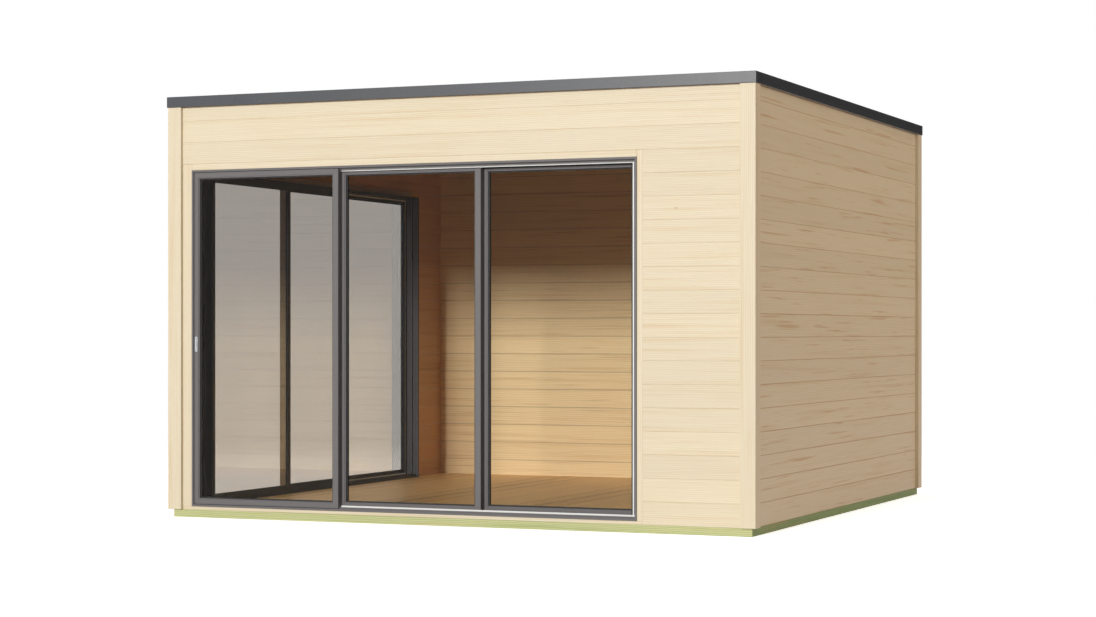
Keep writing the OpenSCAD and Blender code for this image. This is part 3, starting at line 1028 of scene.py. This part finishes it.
class POD_OT_stage(PodOperator):
    """Camera, soft boxes, even light, a black card and a pale floor"""

    bl_idname = "pod.stage"
    bl_label = "Stage"

    def execute(self, context):
        scene = context.scene
        scene.view_settings.view_transform = "Standard"
        self.camera(scene)
        self.lights(scene)
        self.world(scene)
        self.ground(scene)
        self.flag(scene)
        return {"FINISHED"}

    def camera(self, scene):
        stage = scene.pod_stage
        lens = bpy.data.cameras.new("camera")
        lens.sensor_width = 36.0
        lens.lens = stage.lens
        lens.shift_y = stage.rise
        camera = bpy.data.objects.new("camera", lens)
        camera.location = stage.place
        camera.rotation_euler = (math.radians(90), 0.0, stage.turn)
        scene.collection.objects.link(camera)
        scene.camera = camera

    def lights(self, scene):
        """A key in front, a warmer fill on the right wall and a weak light from behind."""
        for name, (bearing, distance, size, colour, mirrored) in SOFT_BOXES.items():
            lamp = self.soft_box(scene, name, bearing, distance, size, colour)
            lamp.data.energy = getattr(scene.pod_stage, name)
            lamp.visible_glossy = mirrored

    def soft_box(self, scene, name, bearing, distance, size, colour):
        """A flat lamp aimed at the middle of the pod."""
        turn, tilt = (math.radians(angle) for angle in bearing)
        way = Vector((math.sin(turn) * math.cos(tilt), -math.cos(turn) * math.cos(tilt), math.sin(tilt)))
        box = bpy.data.lights.new(name, "AREA")
        box.shape = "RECTANGLE"
        box.size, box.size_y = size
        box.color = colour
        lamp = bpy.data.objects.new(name, box)
        lamp.location = Vector((0.0, 0.0, CAD_BOX[1][2] / 2)) + distance * way
        lamp.rotation_euler = way.to_track_quat("Z", "Y").to_euler()
        scene.collection.objects.link(lamp)
        return lamp

    def flag(self, scene):
        """A black card behind the pod that only mirrored rays meet. It keeps the right fascia dark."""
        bm = bmesh.new()
        half_size = Matrix.Diagonal((11.0, 7.0, 1.0, 1.0))
        bmesh.ops.create_grid(bm, x_segments=1, y_segments=1, size=1.0, matrix=half_size)
        mesh = bpy.data.meshes.new("flag")
        bm.to_mesh(mesh)
        bm.free()
        made, w, surface = fresh_material("Black card")
        matt = w.node("BsdfPrincipled", Base_Color=(0.01, 0.01, 0.012, 1.0), Roughness=0.9)
        w.put(surface, matt.outputs[0])
        mesh.materials.append(made)
        card = bpy.data.objects.new("flag", mesh)
        card.location = (7.5, 12.0, 5.0)
        card.rotation_euler = (math.radians(90), 0.0, math.radians(-23))
        for kind in ("camera", "diffuse", "transmission", "volume_scatter", "shadow"):
            setattr(card, "visible_" + kind, False)
        scene.collection.objects.link(card)

    def world(self, scene):
        world = bpy.data.worlds.new("studio")
        world.use_nodes = True
        world.cycles.sampling_method = "NONE"
        scene.world = world
        w = Wires(world.node_tree)
        world.node_tree.nodes.clear()
        seen = w.seen_rays()
        even = w.node("Background", Color=(1.0, 0.985, 0.965, 1.0), Strength=scene.pod_stage.sky)
        white = w.node("Background", Color=WHITE, Strength=1.0)
        both = w.node("MixShader", Fac=seen)
        w.put(both.inputs[1], even.outputs[0])
        w.put(both.inputs[2], white.outputs[0])
        w.put(w.node("OutputWorld").inputs["Surface"], both.outputs[0])

    def ground(self, scene):
        """A round floor, lifted towards white for the camera so that only the pod's shadow shows on it."""
        bm = bmesh.new()
        bmesh.ops.create_circle(bm, cap_ends=True, segments=96, radius=60.0)
        mesh = bpy.data.meshes.new("floor")
        bm.to_mesh(mesh)
        bm.free()
        made, w, surface = fresh_material("Studio floor")
        place = w.node("TexCoord").outputs["Object"]
        far = w.ramp(w.node("VectorMath", {"operation": "LENGTH"}, Vector=place).outputs["Value"], 3.0, 9.0)
        seen = w.seen_rays()
        glow = w.math("MULTIPLY", seen, scene.pod_stage.lift)
        matt = w.node("BsdfPrincipled", Base_Color=rgba(scene.pod_stage.floor), Roughness=0.9,
                      Emission_Color=WHITE, Emission_Strength=glow)
        white = w.node("Emission", Color=WHITE, Strength=1.0)
        both = w.node("MixShader", Fac=w.math("MULTIPLY", far, seen))
        w.put(both.inputs[1], matt.outputs[0])
        w.put(both.inputs[2], white.outputs[0])
        w.put(surface, both.outputs[0])
        mesh.materials.append(made)
        floor = bpy.data.objects.new("floor", mesh)
        scene.collection.objects.link(floor)


OPERATORS = (
    POD_OT_stage, POD_OT_walls, POD_OT_timbers, POD_OT_base, POD_OT_floor, POD_OT_roof,
    POD_OT_door_frames, POD_OT_glazing, POD_OT_fittings,
)
GROUPS = {"pod_timber": PodTimber, "pod_doors": PodDoors, "pod_roof": PodRoof, "pod_stage": PodStage}


class POD_PT_panel(bpy.types.Panel):
    """Lists the pod's steps and settings in the sidebar"""

    bl_idname = "POD_PT_panel"
    bl_label = "Garden Office Pod"
    bl_space_type = "VIEW_3D"
    bl_region_type = "UI"
    bl_category = "Pod"

    def draw(self, context):
        for operator in OPERATORS:
            self.layout.operator(operator.bl_idname)
        for name, group in GROUPS.items():
            box = self.layout.box()
            for prop in group.__annotations__:
                box.prop(getattr(context.scene, name), prop)


CLASSES = (*GROUPS.values(), *OPERATORS, POD_PT_panel)


def register():
    for cls in CLASSES:
        bpy.utils.register_class(cls)
    for name, group in GROUPS.items():
        setattr(bpy.types.Scene, name, PointerProperty(type=group))


def unregister():
    for name in GROUPS:
        delattr(bpy.types.Scene, name)
    for cls in reversed(CLASSES):
        bpy.utils.unregister_class(cls)


def main():
    register()
    for operator in OPERATORS:
        area, name = operator.bl_idname.split(".")
        getattr(getattr(bpy.ops, area), name)()


if __name__ == "__main__":
    main()
